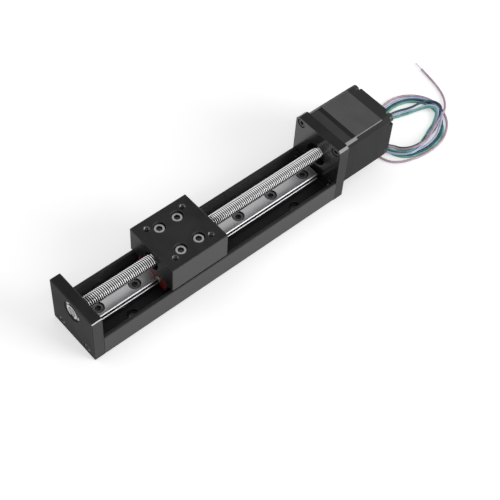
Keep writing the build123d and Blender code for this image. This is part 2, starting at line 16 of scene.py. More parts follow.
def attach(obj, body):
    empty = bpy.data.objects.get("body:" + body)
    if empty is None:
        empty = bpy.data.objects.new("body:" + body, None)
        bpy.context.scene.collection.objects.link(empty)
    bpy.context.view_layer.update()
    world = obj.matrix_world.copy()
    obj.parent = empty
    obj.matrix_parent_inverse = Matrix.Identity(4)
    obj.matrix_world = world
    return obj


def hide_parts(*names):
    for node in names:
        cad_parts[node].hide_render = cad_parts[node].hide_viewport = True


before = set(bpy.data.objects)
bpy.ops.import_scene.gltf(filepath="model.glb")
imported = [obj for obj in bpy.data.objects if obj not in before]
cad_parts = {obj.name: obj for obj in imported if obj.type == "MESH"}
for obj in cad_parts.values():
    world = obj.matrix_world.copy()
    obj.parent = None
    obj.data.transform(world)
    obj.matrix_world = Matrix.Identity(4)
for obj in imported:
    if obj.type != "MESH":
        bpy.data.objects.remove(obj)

log = logging.getLogger("scene")
logging.basicConfig(level=logging.INFO, format="%(name)s: %(message)s")

MM = 0.001
Socket = bpy.types.NodeSocket
Colour = tuple[float, float, float]
Value = Socket | float | Colour


class Lead(Enum):
    """The motor's four leads."""

    RED = "red"
    BLUE = "blue"
    BLACK = "black"
    GREEN = "green"


class Axis(Enum):
    """Direction that a brushed or layered finish runs along."""

    X = 0
    Y = 1
    Z = 2


class Facing(Enum):
    """Faces that a painted shade colour or a coat is kept to."""

    LENGTHWAYS = "Lengthways"
    ACROSS = "Across"
    SIDES = "Sides"


class NodeGraph:
    """A small helper that adds shader nodes to one node tree.

    Args:
        tree: The node tree to fill.
    """

    def __init__(self, tree: bpy.types.NodeTree) -> None:
        self.tree = tree

    def add(self, kind: str, inputs: dict[str | int, Value] | None = None, **settings) -> bpy.types.Node:
        """Add a node, set its properties and fill its inputs.

        Args:
            kind: Type name of the node.
            inputs: Inputs, by name or number, and a socket or a plain value for each.
            **settings: Properties of the node and their values.

        Returns:
            The new node.
        """
        node = self.tree.nodes.new(kind)
        for name, value in settings.items():
            setattr(node, name, value)
        for name, value in (inputs or {}).items():
            self.fill(node.inputs[name], value)
        return node

    def fill(self, target: Socket, value: Value) -> None:
        """Link a socket to an input, or set the input's own value.

        Args:
            target: The input socket.
            value: An output socket, a number or a colour.
        """
        if isinstance(value, Socket):
            self.tree.links.new(value, target)
        else:
            target.default_value = (*value, 1) if isinstance(value, tuple) else value

    def maths(self, operation: str, *values: Value, clamp: bool = False) -> Socket:
        """Add a maths node.

        Args:
            operation: Name of the operation.
            *values: One or two sockets or numbers.
            clamp: Whether the result is kept between zero and one.

        Returns:
            The output socket.
        """
        inputs = dict(enumerate(values))
        return self.add("ShaderNodeMath", inputs, operation=operation, use_clamp=clamp).outputs[0]

    def blend(self, share: Socket, first: Value, second: Value) -> Socket:
        """Mix two colours.

        Args:
            share: Socket that gives the share of the second colour.
            first: A colour or a colour socket.
            second: A colour or a colour socket.

        Returns:
            The colour socket.
        """
        return self.add("ShaderNodeMix", {0: share, 6: first, 7: second}, data_type="RGBA").outputs[2]

    def spread(self, value: Socket, low: Value, high: Value, to: tuple[float, float] = (0, 1)) -> Socket:
        """Map a range of values onto another.

        Args:
            value: The socket to map.
            low: Value that becomes the first end.
            high: Value that becomes the second end.
            to: The two ends.

        Returns:
            The mapped socket.
        """
        inputs = {"Value": value, "From Min": low, "From Max": high, "To Min": to[0], "To Max": to[1]}
        return self.add("ShaderNodeMapRange", inputs).outputs["Result"]


class Effect(NodeGraph):
    """A shader node group that several finishes share.

    Args:
        name: Name of the group.
        inputs: Names of the number inputs and their usual values.
        outputs: Names of the outputs, each a mask or the normal.
    """

    def __init__(self, name: str, inputs: dict[str, float], outputs: tuple[str, ...] = ("Mask",)) -> None:
        super().__init__(bpy.data.node_groups.new(name, "ShaderNodeTree"))
        for title, value in inputs.items():
            socket = self.tree.interface.new_socket(title, in_out="INPUT", socket_type="NodeSocketFloat")
            socket.default_value = value
        for title in outputs:
            kind = "NodeSocketVector" if title == "Normal" else "NodeSocketFloat"
            self.tree.interface.new_socket(title, in_out="OUTPUT", socket_type=kind)
        self.given = self.add("NodeGroupInput").outputs
        self.end = self.add("NodeGroupOutput").inputs

    def place(self) -> Socket:
        """Return the object coordinates, in metres."""
        return self.add("ShaderNodeTexCoord").outputs["Object"]

    def parts(self, vector: Socket) -> bpy.types.Node:
        """Return a node that splits a vector into X, Y and Z."""
        return self.add("ShaderNodeSeparateXYZ", {0: vector})

    def flat_normal(self) -> bpy.types.Node:
        """Return a node with the X, Y and Z of the unrounded face normal."""
        return self.parts(self.add("ShaderNodeNewGeometry").outputs["True Normal"])

    def both(self, first: Socket, second: Socket) -> Socket:
        """Return the product of two masks."""
        return self.maths("MULTIPLY", first, second)

    def gives(self, mask: Socket) -> "Effect":
        """Give the mask and return the effect."""
        self.fill(self.end["Mask"], mask)
        return self

    def raised(self, noise: Socket) -> "Effect":
        """Give a noise as the mask, and as a bump of the group's depth and strength.

        Args:
            noise: The noise.

        Returns:
            The effect.
        """
        bump = self.add("ShaderNodeBump", {"Distance": self.given["Depth"],
                                           "Strength": self.given["Strength"], "Height": noise})
        self.fill(self.end["Normal"], bump.outputs["Normal"])
        return self.gives(noise)

    def use(self, graph: NodeGraph, **values: float) -> bpy.types.Node:
        """Put this effect into a material.

        Args:
            graph: The material's graph.
            **values: Values for the inputs, named with underscores for spaces.

        Returns:
            The group node.
        """
        inputs = {title.replace("_", " ").capitalize(): value for title, value in values.items()}
        return graph.add("ShaderNodeGroup", inputs, node_tree=self.tree)

    def mask(self, graph: NodeGraph, **values: float) -> Socket:
        """Put this effect into a material and return its mask."""
        return self.use(graph, **values).outputs["Mask"]


def build_grain() -> Effect:
    """Make the fine grain of a blasted or moulded surface.

    Returns:
        The effect.
    """
    effect = Effect("grain", {"Scale": 3000.0, "Depth": 0.00001, "Strength": 0.4}, ("Mask", "Normal"))
    noise = effect.add("ShaderNodeTexNoise", {"Vector": effect.place(), "Scale": effect.given["Scale"],
                                              "Detail": 3, "Roughness": 0.6})
    return effect.raised(noise.outputs["Fac"])


def build_edge_wear_and_glint() -> Effect:
    """Make the mask of edges, rubbed and with a painted highlight: one where a rounded normal leaves the
    flat one.

    Returns:
        The effect.
    """
    effect = Effect("rubbed_and_glinting_edges", {"Radius": 0.0004, "Reach": 2.0, "Breaks": 900.0})
    rounded = effect.add("ShaderNodeBevel", {"Radius": effect.given["Radius"]}, samples=6)
    flat = effect.add("ShaderNodeNewGeometry")
    product = effect.add("ShaderNodeVectorMath", {0: rounded.outputs["Normal"], 1: flat.outputs["Normal"]},
                         operation="DOT_PRODUCT")
    away = effect.maths("SUBTRACT", 1.0, product.outputs["Value"])
    strong = effect.maths("MULTIPLY", away, effect.given["Reach"], clamp=True)
    noise = effect.add("ShaderNodeTexNoise", {"Vector": effect.place(), "Scale": effect.given["Breaks"]})
    return effect.gives(effect.both(strong, noise.outputs["Fac"]))


def build_lines() -> Effect:
    """Make fine parallel lines: a noise drawn out along one direction.

    Returns:
        The effect.
    """
    effect = Effect("fine_lines", {"Along x": 1.0, "Along y": 1.0, "Along z": 1.0, "Depth": 0.000004,
                                   "Strength": 0.5}, ("Mask", "Normal"))
    scale = effect.add("ShaderNodeCombineXYZ", {axis.name: effect.given["Along " + axis.name.lower()]
                                                for axis in Axis})
    stretched = effect.add("ShaderNodeVectorMath", {0: effect.place(), 1: scale.outputs[0]},
                           operation="MULTIPLY")
    noise = effect.add("ShaderNodeTexNoise", {"Vector": stretched.outputs[0], "Scale": 1, "Detail": 4})
    return effect.raised(noise.outputs["Fac"])


def build_clouds() -> Effect:
    """Make the slow unevenness of handling marks and thin oil.

    Returns:
        The effect.
    """
    effect = Effect("clouds", {"Scale": 60.0, "Low": 0.35, "High": 0.7})
    noise = effect.add("ShaderNodeTexNoise", {"Vector": effect.place(), "Scale": effect.given["Scale"],
                                              "Detail": 5, "Distortion": 0.6})
    mask = effect.spread(noise.outputs["Fac"], effect.given["Low"], effect.given["High"])
    return effect.gives(mask)


def build_corner_highlights() -> Effect:
    """Make the mask of a painted highlight on the cut-off long edges, above a height and mirrored below.

    Returns:
        The effect.
    """
    effect = Effect("corner_highlights", {"Axis height": 0.02, "Reach": 0.0129, "Lean": 0.5})
    away = effect.maths("SUBTRACT", effect.parts(effect.place()).outputs["Z"], effect.given["Axis height"])
    mask = effect.maths("GREATER_THAN", effect.maths("ABSOLUTE", away), effect.given["Reach"])
    facing = effect.flat_normal()
    for part in ("Y", "Z"):
        level = effect.maths("ABSOLUTE", facing.outputs[part])
        mask = effect.both(mask, effect.maths("GREATER_THAN", level, effect.given["Lean"]))
    return effect.gives(mask)


def build_sides() -> Effect:
    """Make masks of the faces that look along X, along Y, and anywhere but up or down.

    Returns:
        The effect.
    """
    effect = Effect("facing", {"Limit": 0.8}, tuple(way.value for way in Facing))
    normal = effect.flat_normal()
    for way, axis, test in ((Facing.LENGTHWAYS, "X", "GREATER_THAN"),
                            (Facing.ACROSS, "Y", "GREATER_THAN"), (Facing.SIDES, "Z", "LESS_THAN")):
        level = effect.maths("ABSOLUTE", normal.outputs[axis])
        effect.fill(effect.end[way.value], effect.maths(test, level, effect.given["Limit"]))
    return effect


def build_region(name: str, *tests: tuple[str, str, str, float]) -> Effect:
    """Make the mask of a region: the product of two tests of the place.

    Args:
        name: Name of the effect.
        *tests: Axis, comparison, and the limit's name and usual value.

    Returns:
        The effect.
    """
    effect = Effect(name, {title: limit for _, _, title, limit in tests})
    place = effect.parts(effect.place()).outputs
    masks = [effect.maths(test, place[axis], effect.given[title]) for axis, test, title, _ in tests]
    return effect.gives(effect.both(*masks))


def build_groove_shade() -> Effect:
    """Make the mask of painted shade in a thread's grooves: one at the root's radius, falling to zero at the
    crest's.

    Returns:
        The effect.
    """
    effect = Effect("groove", {"Axis height": 0.02, "Root": 0.0026, "Crest": 0.00276})
    place = effect.parts(effect.place()).outputs
    away = effect.maths("SUBTRACT", place["Z"], effect.given["Axis height"])
    squares = effect.maths("ADD", effect.both(away, away), effect.both(place["Y"], place["Y"]))
    radius = effect.maths("SQRT", squares)
    mask = effect.spread(radius, effect.given["Root"], effect.given["Crest"], (1, 0))
    return effect.gives(mask)


class Effects:
    """All the shared effects, and the materials made with them."""

    def __init__(self) -> None:
        self.grain = build_grain()
        self.edges = build_edge_wear_and_glint()
        self.lines = build_lines()
        self.clouds = build_clouds()
        self.corners = build_corner_highlights()
        self.sides = build_sides()
        self.band = build_region("band", ("X", "GREATER_THAN", "Start", 0.0),
                                 ("X", "LESS_THAN", "End", 0.001))
        self.groove = build_groove_shade()
        self.painted_corner_glint = build_region("painted_corner_glint", ("Y", "LESS_THAN", "Across", -0.01465),
                                        ("Z", "GREATER_THAN", "Height", 0.02715))
        self.made: dict[str, bpy.types.Material] = {}

    def material(self, finish: "Finish") -> bpy.types.Material:
        """Return a finish's material, made once.

        Args:
            finish: The finish.

        Returns:
            The material.
        """
        if finish.name not in self.made:
            self.made[finish.name] = finish.material(self)
        return self.made[finish.name]


GRAIN_SHARE = 0.3
LINE_STRETCH = 150
SIDE_SHADE_LIFT = 1.3
COAT_ROUGHNESS = 0.22


@dataclass(frozen=True)
class Finish:
    """The look of one surface.

    Args:
        name: Name of the finish.
        colour: Base colour, linear.
        second: Colour that the unevenness moves towards.
        metallic: Zero for a coating or plastic, one for bare metal.
        roughness: Lowest and highest roughness over the surface.
        specular: Strength of the coating's reflection.
        grain: Fineness and depth of the grain, in marks per metre and metres.
        line_axis: Direction that fine lines run along, if there are any.
        line_fineness: Lines per metre across that direction.
        line_share: How much the lines change the colour.
        edge_wear_and_glint_colour: Colour of the edges, rubbed bare and with a painted highlight.
        edge_radius: Width of those edges.
        edge_reach: Strength of those edges.
        coat: Strength of a clear gloss coat on the faces that look along X.
        cloud_scale: Fineness of the slow unevenness.
        side_shade_colour: Painted shade of the side faces, lighter or darker than the top as the light falls
            on them, if it differs.
        shade_facing: Which faces have that painted shade.
        corner_highlight_colour: Colour of a painted highlight on cut-off long edges, if it shows.
        corner_highlight_reach: Distance from the axis at which the painted highlight starts.
        band: Where a band of another colour starts and ends along X, if there is one.
        band_colour: Colour of the band.
        groove_shade_colour: Colour of painted shade at the bottom of a thread's grooves, if the finish has
            any.
        top_corner_glint_colour: Colour of a painted highlight on one top corner, if the finish has it.
    """

    name: str
    colour: Colour
    second: Colour
    metallic: float = 0.0
    roughness: tuple[float, float] = (0.35, 0.5)
    specular: float = 0.5
    grain: tuple[float, float] = (3000.0, 0.00001)
    line_axis: Axis | None = None
    line_fineness: float = 9000.0
    line_share: float = 0.6
    edge_wear_and_glint_colour: Colour = (0.2, 0.2, 0.2)
    edge_radius: float = 0.00035
    edge_reach: float = 1.2
    coat: float = 0.0
    cloud_scale: float = 60.0
    side_shade_colour: Colour | None = None
    shade_facing: Facing = Facing.SIDES
    corner_highlight_colour: Colour | None = None
    corner_highlight_reach: float = 12.9 * MM
    band: tuple[float, float] | None = None
    band_colour: Colour = (0.01, 0.01, 0.011)
    groove_shade_colour: Colour | None = None
    top_corner_glint_colour: Colour | None = None

    def material(self, effects: Effects) -> bpy.types.Material:
        """Make the material of this finish: an uneven base colour with layers over it.

        Args:
            effects: The shared effects.

        Returns:
            The material.
        """
        material = bpy.data.materials.new(self.name)
        material.use_nodes = True
        graph = NodeGraph(material.node_tree)
        shader = material.node_tree.nodes["Principled BSDF"].inputs
        clouds = effects.clouds.mask(graph, scale=self.cloud_scale)
        if self.line_axis is None:
            marks = effects.grain.use(graph, scale=self.grain[0], depth=self.grain[1])
            part = GRAIN_SHARE
        else:
            along = {f"along_{axis.name.lower()}": self.line_fineness for axis in Axis}
            along[f"along_{self.line_axis.name.lower()}"] /= LINE_STRETCH
            marks = effects.lines.use(graph, depth=self.grain[1], **along)
            part = self.line_share
        share = graph.maths("ADD", graph.maths("MULTIPLY", marks.outputs["Mask"], part),
                            graph.maths("MULTIPLY", clouds, 1 - part))
        base = graph.blend(share, self.colour, self.second)
        # Painted shade at the bottom of the thread's grooves.
        if self.groove_shade_colour is not None:
            base = graph.blend(effects.groove.mask(graph), base, self.groove_shade_colour)
        if self.band is not None:
            band = effects.band.mask(graph, start=self.band[0], end=self.band[1])
            base = graph.blend(band, base, self.band_colour)
        # Painted shade: the side faces get their own colour, lighter or darker than the top as the light
        # falls on them.
        if self.side_shade_colour is not None:
            lifted = tuple(SIDE_SHADE_LIFT * level for level in self.side_shade_colour)
            side = graph.blend(share, self.side_shade_colour, lifted)
            facing = effects.sides.use(graph).outputs[self.shade_facing.value]
            base = graph.blend(facing, base, side)
        # Painted highlight along the cut-off long edges.
        if self.corner_highlight_colour is not None:
            corners = effects.corners.mask(graph, reach=self.corner_highlight_reach)
            base = graph.blend(corners, base, self.corner_highlight_colour)
        # Edges: rubbed wear, and a painted highlight along them.
        edges = effects.edges.mask(graph, radius=self.edge_radius, reach=self.edge_reach)
        base = graph.blend(edges, base, self.edge_wear_and_glint_colour)
        # Painted highlight on one top corner.
        if self.top_corner_glint_colour is not None:
            base = graph.blend(effects.painted_corner_glint.mask(graph), base, self.top_corner_glint_colour)
        if self.coat > 0:
            facing = effects.sides.use(graph).outputs[Facing.LENGTHWAYS.value]
            graph.fill(shader["Coat Weight"], graph.maths("MULTIPLY", facing, self.coat))
            graph.fill(shader["Coat Roughness"], COAT_ROUGHNESS)
        graph.fill(shader["Metallic"], self.metallic)
        graph.fill(shader["Specular IOR Level"], self.specular)
        graph.fill(shader["Base Color"], base)
        graph.fill(shader["Roughness"], graph.spread(share, 0, 1, self.roughness))
        graph.fill(shader["Normal"], marks.outputs["Normal"])
        return material


def jacket(name: str, colour: Colour, dust_and_sheen: Colour) -> Finish:
    """Return the finish of one lead's coloured plastic, in patches of a lighter colour that is partly dust
    and partly a painted sheen.
    """
    return Finish(name, colour, dust_and_sheen, roughness=(0.28, 0.42), grain=(2200.0, 0.000006),
                  edge_reach=0.0, cloud_scale=220.0)


# The side colours in these finishes are painted shade, set for how the light falls on each side.
BLACK_ANODISED = Finish(
    "black_anodised", (0.006, 0.006, 0.007), (0.027, 0.027, 0.028), roughness=(0.34, 0.48), specular=0.2,
    grain=(2600.0, 0.000012), edge_wear_and_glint_colour=(0.28, 0.28, 0.29), edge_reach=2.2,
    side_shade_colour=(0.05, 0.05, 0.051), shade_facing=Facing.ACROSS)
MATT_ANODISED = Finish(
    "matt_anodised", (0.010, 0.010, 0.011), (0.023, 0.023, 0.024), roughness=(0.5, 0.62), specular=0.11,
    grain=(2600.0, 0.000012), edge_wear_and_glint_colour=(0.45, 0.45, 0.46), edge_reach=3.0,
    side_shade_colour=(0.05, 0.05, 0.051), shade_facing=Facing.ACROSS, top_corner_glint_colour=(0.8, 0.8, 0.8))
GLOSS_ANODISED = Finish(
    "gloss_anodised", (0.012, 0.012, 0.013), (0.024, 0.024, 0.025), roughness=(0.12, 0.22), specular=0.12,
    coat=1.0, grain=(2600.0, 0.000004), edge_wear_and_glint_colour=(0.16, 0.16, 0.165), edge_reach=1.6,
    corner_highlight_colour=(0.3, 0.3, 0.305), corner_highlight_reach=13.1 * MM)
BLACK_CASTING = Finish(
    "black_casting", (0.034, 0.034, 0.036), (0.052, 0.052, 0.054), roughness=(0.6, 0.72), specular=0.12,
    grain=(1500.0, 0.00002), edge_wear_and_glint_colour=(0.13, 0.13, 0.135), edge_reach=1.4,
    side_shade_colour=(0.024, 0.024, 0.025), corner_highlight_colour=(0.3, 0.3, 0.305), corner_highlight_reach=12.8 * MM,
    band=(78.0 * MM, 80.8 * MM), band_colour=(0.016, 0.016, 0.017))
REAR_CASTING = Finish(
    "rear_casting", (0.024, 0.024, 0.025), (0.036, 0.036, 0.037), roughness=(0.55, 0.68), specular=0.15,
    grain=(1500.0, 0.00002), edge_wear_and_glint_colour=(0.12, 0.12, 0.125), edge_reach=1.4,
    side_shade_colour=(0.022, 0.022, 0.023))
LAMINATIONS = Finish(
    "lamination_steel", (0.06, 0.06, 0.062), (0.13, 0.13, 0.133), metallic=0.1, roughness=(0.55, 0.68),
    specular=0.12, grain=(2000.0, 0.00003), line_axis=Axis.Y, line_fineness=2200.0, line_share=0.75,
    edge_reach=0.6, side_shade_colour=(0.023, 0.023, 0.024), corner_highlight_colour=(0.24, 0.24, 0.245),
    corner_highlight_reach=13.65 * MM)
GROUND_STEEL = Finish(
    "ground_steel", (0.42, 0.42, 0.43), (0.62, 0.62, 0.63), metallic=1.0, roughness=(0.26, 0.4),
    grain=(2000.0, 0.000003), line_axis=Axis.X, line_fineness=7000.0, edge_wear_and_glint_colour=(0.8, 0.8, 0.8),
    edge_reach=0.7, side_shade_colour=(0.22, 0.22, 0.225))
SCREW_STEEL = Finish(
    "screw_steel", (0.82, 0.82, 0.83), (0.93, 0.93, 0.94), metallic=1.0, roughness=(0.2, 0.3),
    grain=(1500.0, 0.000002), edge_reach=0.0, cloud_scale=90.0, groove_shade_colour=(0.015, 0.015, 0.015))
SHAFT_STEEL = replace(
    SCREW_STEEL, name="shaft_steel", colour=(0.3, 0.3, 0.3), second=(0.45, 0.45, 0.45), groove_shade_colour=None)
BEARING_STEEL = Finish(
    "bearing_steel", (0.5, 0.5, 0.5), (0.66, 0.66, 0.66), metallic=1.0, roughness=(0.2, 0.32),
    grain=(1500.0, 0.000003), edge_wear_and_glint_colour=(0.9, 0.9, 0.9))
BLOCK_STEEL = Finish(
    "block_steel", (0.36, 0.36, 0.37), (0.5, 0.5, 0.51), metallic=1.0, roughness=(0.28, 0.4),
    grain=(1500.0, 0.000004), line_axis=Axis.X)
BLACK_SCREW = Finish(
    "black_screw", (0.05, 0.05, 0.052), (0.10, 0.10, 0.105), metallic=0.4, roughness=(0.26, 0.4),
    grain=(3500.0, 0.000005), edge_wear_and_glint_colour=(0.8, 0.8, 0.8), edge_radius=0.00024, edge_reach=4.0)
DARK_SCREW = replace(
    BLACK_SCREW, name="dark_screw", colour=(0.01, 0.01, 0.01), second=(0.02, 0.02, 0.02),
    edge_wear_and_glint_colour=(0.12, 0.12, 0.12), metallic=0.0)
SILVER_SCREW = Finish(
    "silver_screw", (0.34, 0.34, 0.34), (0.46, 0.46, 0.46), metallic=1.0, roughness=(0.24, 0.36),
    grain=(3000.0, 0.000006), edge_wear_and_glint_colour=(0.9, 0.9, 0.9), edge_radius=0.00025, edge_reach=2.5)
SOCKET_SHADE = Finish(
    "socket_shade", (0.02, 0.02, 0.021), (0.05, 0.05, 0.052), metallic=0.4, roughness=(0.3, 0.42),
    grain=(3000.0, 0.000006), edge_reach=0.0)
MOUTH_ALUMINIUM = Finish(
    "mouth_aluminium", (0.01, 0.01, 0.01), (0.2, 0.2, 0.2), metallic=0.8, roughness=(0.3, 0.45),
    grain=(900.0, 0.00001), edge_reach=0.0, cloud_scale=900.0)
CUT_ALUMINIUM = Finish(
    "cut_aluminium", (0.25, 0.25, 0.25), (0.4, 0.4, 0.4), metallic=1.0, roughness=(0.25, 0.4),
    grain=(3000.0, 0.000006), edge_reach=0.0)
BUSH_RUBBER = Finish(
    "bush_rubber", (0.006, 0.006, 0.007), (0.012, 0.012, 0.013), roughness=(0.5, 0.65), specular=0.2,
    grain=(1800.0, 0.00001))
CAP_PLASTIC = Finish(
    "cap_plastic", (0.03, 0.03, 0.032), (0.05, 0.05, 0.052), roughness=(0.4, 0.55), grain=(1800.0, 0.00001))
SEAL_RUBBER = Finish(
    "seal_rubber", (0.13, 0.007, 0.007), (0.2, 0.012, 0.011), roughness=(0.5, 0.65),
    grain=(1600.0, 0.00001), edge_reach=0.3)
NUT_RESIN = Finish(
    "nut_resin", (0.014, 0.014, 0.015), (0.024, 0.024, 0.026), roughness=(0.4, 0.55),
    grain=(1800.0, 0.000006), edge_reach=0.4)
COPPER = Finish(
    "copper_winding", (0.4, 0.13, 0.05), (0.55, 0.22, 0.09), metallic=1.0, roughness=(0.3, 0.45),
    grain=(2600.0, 0.00003), line_axis=Axis.X, line_fineness=3000.0)
MAGNET = Finish("magnet", (0.1, 0.1, 0.11), (0.16, 0.16, 0.17), metallic=0.8)
TINNED = Finish(
    "tinned_wire", (0.6, 0.6, 0.62), (0.78, 0.78, 0.8), metallic=1.0, roughness=(0.2, 0.34),
    grain=(2600.0, 0.000006), edge_reach=0.0)

FINISH_OF_NODE = {
    BLACK_ANODISED: ("base_channel", "slider_table"),
    MATT_ANODISED: ("front_plate",),
    GLOSS_ANODISED: ("motor_plate",),
    BLACK_CASTING: ("motor_front_bell",),
    REAR_CASTING: ("motor_rear_bell",),
    LAMINATIONS: ("motor_stator", "rotor_stack_1", "rotor_stack_2"),
    GROUND_STEEL: ("rail",),
    BLOCK_STEEL: ("carriage_block",),
    SCREW_STEEL: ("lead_screw",),
    BEARING_STEEL: ("carriage_balls", "front_bearing_balls", "wave_washer", "retaining_clip",
                    *(f"{end}_bearing_{part}" for end in ("front", "motor_front", "motor_rear")
                      for part in ("outer", "inner", "shields"))),
    BLACK_SCREW: ("rail_screws", "front_plate_screws", "motor_plate_screws", "motor_screws"),
    DARK_SCREW: ("motor_rear_screws",),
    SILVER_SCREW: ("table_screws", "nut_screws", "end_cap_screws"),
    CAP_PLASTIC: ("end_cap_front", "end_cap_rear"),
    BUSH_RUBBER: ("lead_grommet",),
    SEAL_RUBBER: ("end_seal_front", "end_seal_rear"),
    NUT_RESIN: ("lead_nut",),
    COPPER: ("motor_coils",),
    MAGNET: ("rotor_magnet",),
    TINNED: ("lead_red_tip",),
}


@dataclass(frozen=True)
class CameraView:
    """The camera that took the photograph, as fitted to the slide's edges.

    Args:
        azimuth: Angle of the camera round Z, in degrees, zero in front of the slide's side.
        elevation: Angle of the camera above the floor, in degrees.
        roll: Turn of the picture about the line of sight, in degrees.
        distance: Distance from the camera to the target.
        target: Point that the line of sight passes through.
        lens: Focal length for a sensor 36 mm wide.
        shift: Place of the line of sight in the picture, as shares of its width.
    """

    azimuth: float = -44.858
    elevation: float = 53.155
    roll: float = 4.729
    distance: float = 0.5510
    target: tuple[float, float, float] = (0.015568, -0.015663, 0.010)
    lens: float = 87.4
    shift: tuple[float, float] = (-0.0063, -0.01317)

    def build(self) -> None:
        """Make the camera and render through it."""
        turn, lift, tilt = (radians(angle) for angle in (self.azimuth, self.elevation, self.roll))
        back = Vector((sin(turn) * cos(lift), -cos(turn) * cos(lift), sin(lift)))
        level = Vector((cos(turn), sin(turn), 0))
        upright = back.cross(level)
        right = level * cos(tilt) + upright * sin(tilt)
        up = upright * cos(tilt) - level * sin(tilt)
        data = bpy.data.cameras.new("camera")
        data.sensor_width = 36
        data.lens = self.lens
        data.shift_x, data.shift_y = self.shift
        data.clip_start = 0.01
        camera = placed("camera", data)
        place = Vector(self.target) + back * self.distance
        turned = Matrix((right, up, back)).transposed().to_4x4()
        camera.matrix_world = Matrix.Translation(place) @ turned
        bpy.context.scene.camera = camera


@dataclass(frozen=True)
class LeadWay:
    """One lead's plastic and its way through the coil.

    Args:
        jacket: Finish of the plastic.
        lane: Lane beside the middle route.
        length: Length along the route; not used.
        keys: Angle round the coil in degrees, distance in from the outermost turn and height, both in
            millimetres. Without a height the lead lies on the floor.
    """

    jacket: Finish
    lane: float
    length: float
    keys: tuple[tuple[float, ...], ...]


WAYS = {
    Lead.RED: LeadWay(jacket("jacket_red", (0.40, 0.26, 0.34), (0.62, 0.50, 0.58)), -1.5, 0.260, (
        (165, 0.4, 1.2), (190, -1.2), (212, -2.2), (227, -1.4), (240, -0.5), (259, -0.1), (272, -0.4),
        (290, -0.9), (330, -0.8), (345, -0.3), (365, -0.4), (388, -0.7), (425, -1.1), (440, -0.5),
        (455, 0.5), (480, 1.2), (510, 2.0, 1.2), (540, 4.0, 1.8), (565, 7.3, 1.4), (583, 6.2),
        (600, 5.3, 1.2), (612, 4.7, 2.5), (618, 4.4, 2.7))),
    Lead.BLUE: LeadWay(jacket("jacket_blue", (0.34, 0.38, 0.62), (0.52, 0.62, 0.82)), -0.5, 0.255, (
        (165, 1.6, 1.0), (185, 4.0, 1.9), (205, 5.6, 0.8), (223, 4.6), (240, 3.9), (256, 3.4), (290, 3.0),
        (307, 3.0, 0.8), (318, 2.9, 1.6), (328, 2.6, 2.6), (336, 1.8, 2.4), (344, 1.1, 1.6),
        (352, 0.8, 0.7), (386, 0.5), (415, 0.7), (439, 1.6), (480, 3.0), (510, 3.2, 1.8), (540, 1.2, 2.6),
        (570, 2.6, 1.8), (585, 2.4, 1.8), (600, 2.0, 1.8), (612, 3.2, 1.8), (620, 4.4, 1.5),
        (630, 5.8, 0.8), (657, 7.0), (688, 5.2, 0.7), (702, 3.6, 1.7), (713, 1.8, 1.9), (729, 3.2, 1.9),
        (740, 6.0, 1.6), (752, 8.6, 0.8), (771, 9.5), (798, 9.2), (814, 7.6), (850, 7.4))),
    Lead.BLACK: LeadWay(jacket("jacket_black", (0.008, 0.032, 0.042), (0.03, 0.095, 0.13)), 0.5, 0.254, (
        (165, 2.9, 0.8), (185, 2.9), (210, 4.4), (223, 3.1), (240, 2.5), (256, 2.2), (290, 1.7),
        (307, 1.8), (318, 2.0, 1.4), (326, 2.1, 1.8), (334, 2.2, 1.2), (342, 2.1), (382, 1.8), (411, 1.9),
        (424, 2.3), (480, 4.2), (510, 4.8), (540, 6.4), (565, 8.5), (583, 7.4), (600, 6.5), (630, 6.4),
        (657, 5.8), (680, 4.6), (690, 3.8, 1.2), (700, 2.4, 1.9), (708, 0.9, 2.0), (715, -0.5, 1.9),
        (726, -0.3, 1.9), (738, 1.6, 2.0), (752, 5.4, 1.9), (769, 8.0, 0.8), (794, 7.2), (815, 6.2),
        (850, 5.8))),
    Lead.GREEN: LeadWay(jacket("jacket_green", (0.035, 0.22, 0.13), (0.20, 0.54, 0.50)), 1.5, 0.250, (
        (165, 4.2, 1.0), (185, 5.2), (196, 4.6), (210, 3.2), (223, 1.9), (237, 1.2), (264, 0.9),
        (293, 0.4), (307, 0.5), (318, 1.4), (330, 3.0), (342, 3.6), (381, 3.3), (411, 3.2), (436, 3.8),
        (480, 5.6), (510, 6.2, 1.2), (540, 4.0, 2.6), (570, 4.2, 1.8), (585, 3.8, 1.8), (600, 3.3, 1.8),
        (612, 4.6, 1.2), (626, 6.8), (658, 8.2), (690, 6.3), (702, 4.8, 1.4), (713, 3.0, 1.9),
        (729, 4.6, 1.9), (745, 8.4, 0.8), (771, 10.9), (798, 10.5), (814, 8.8), (850, 8.6))),
}


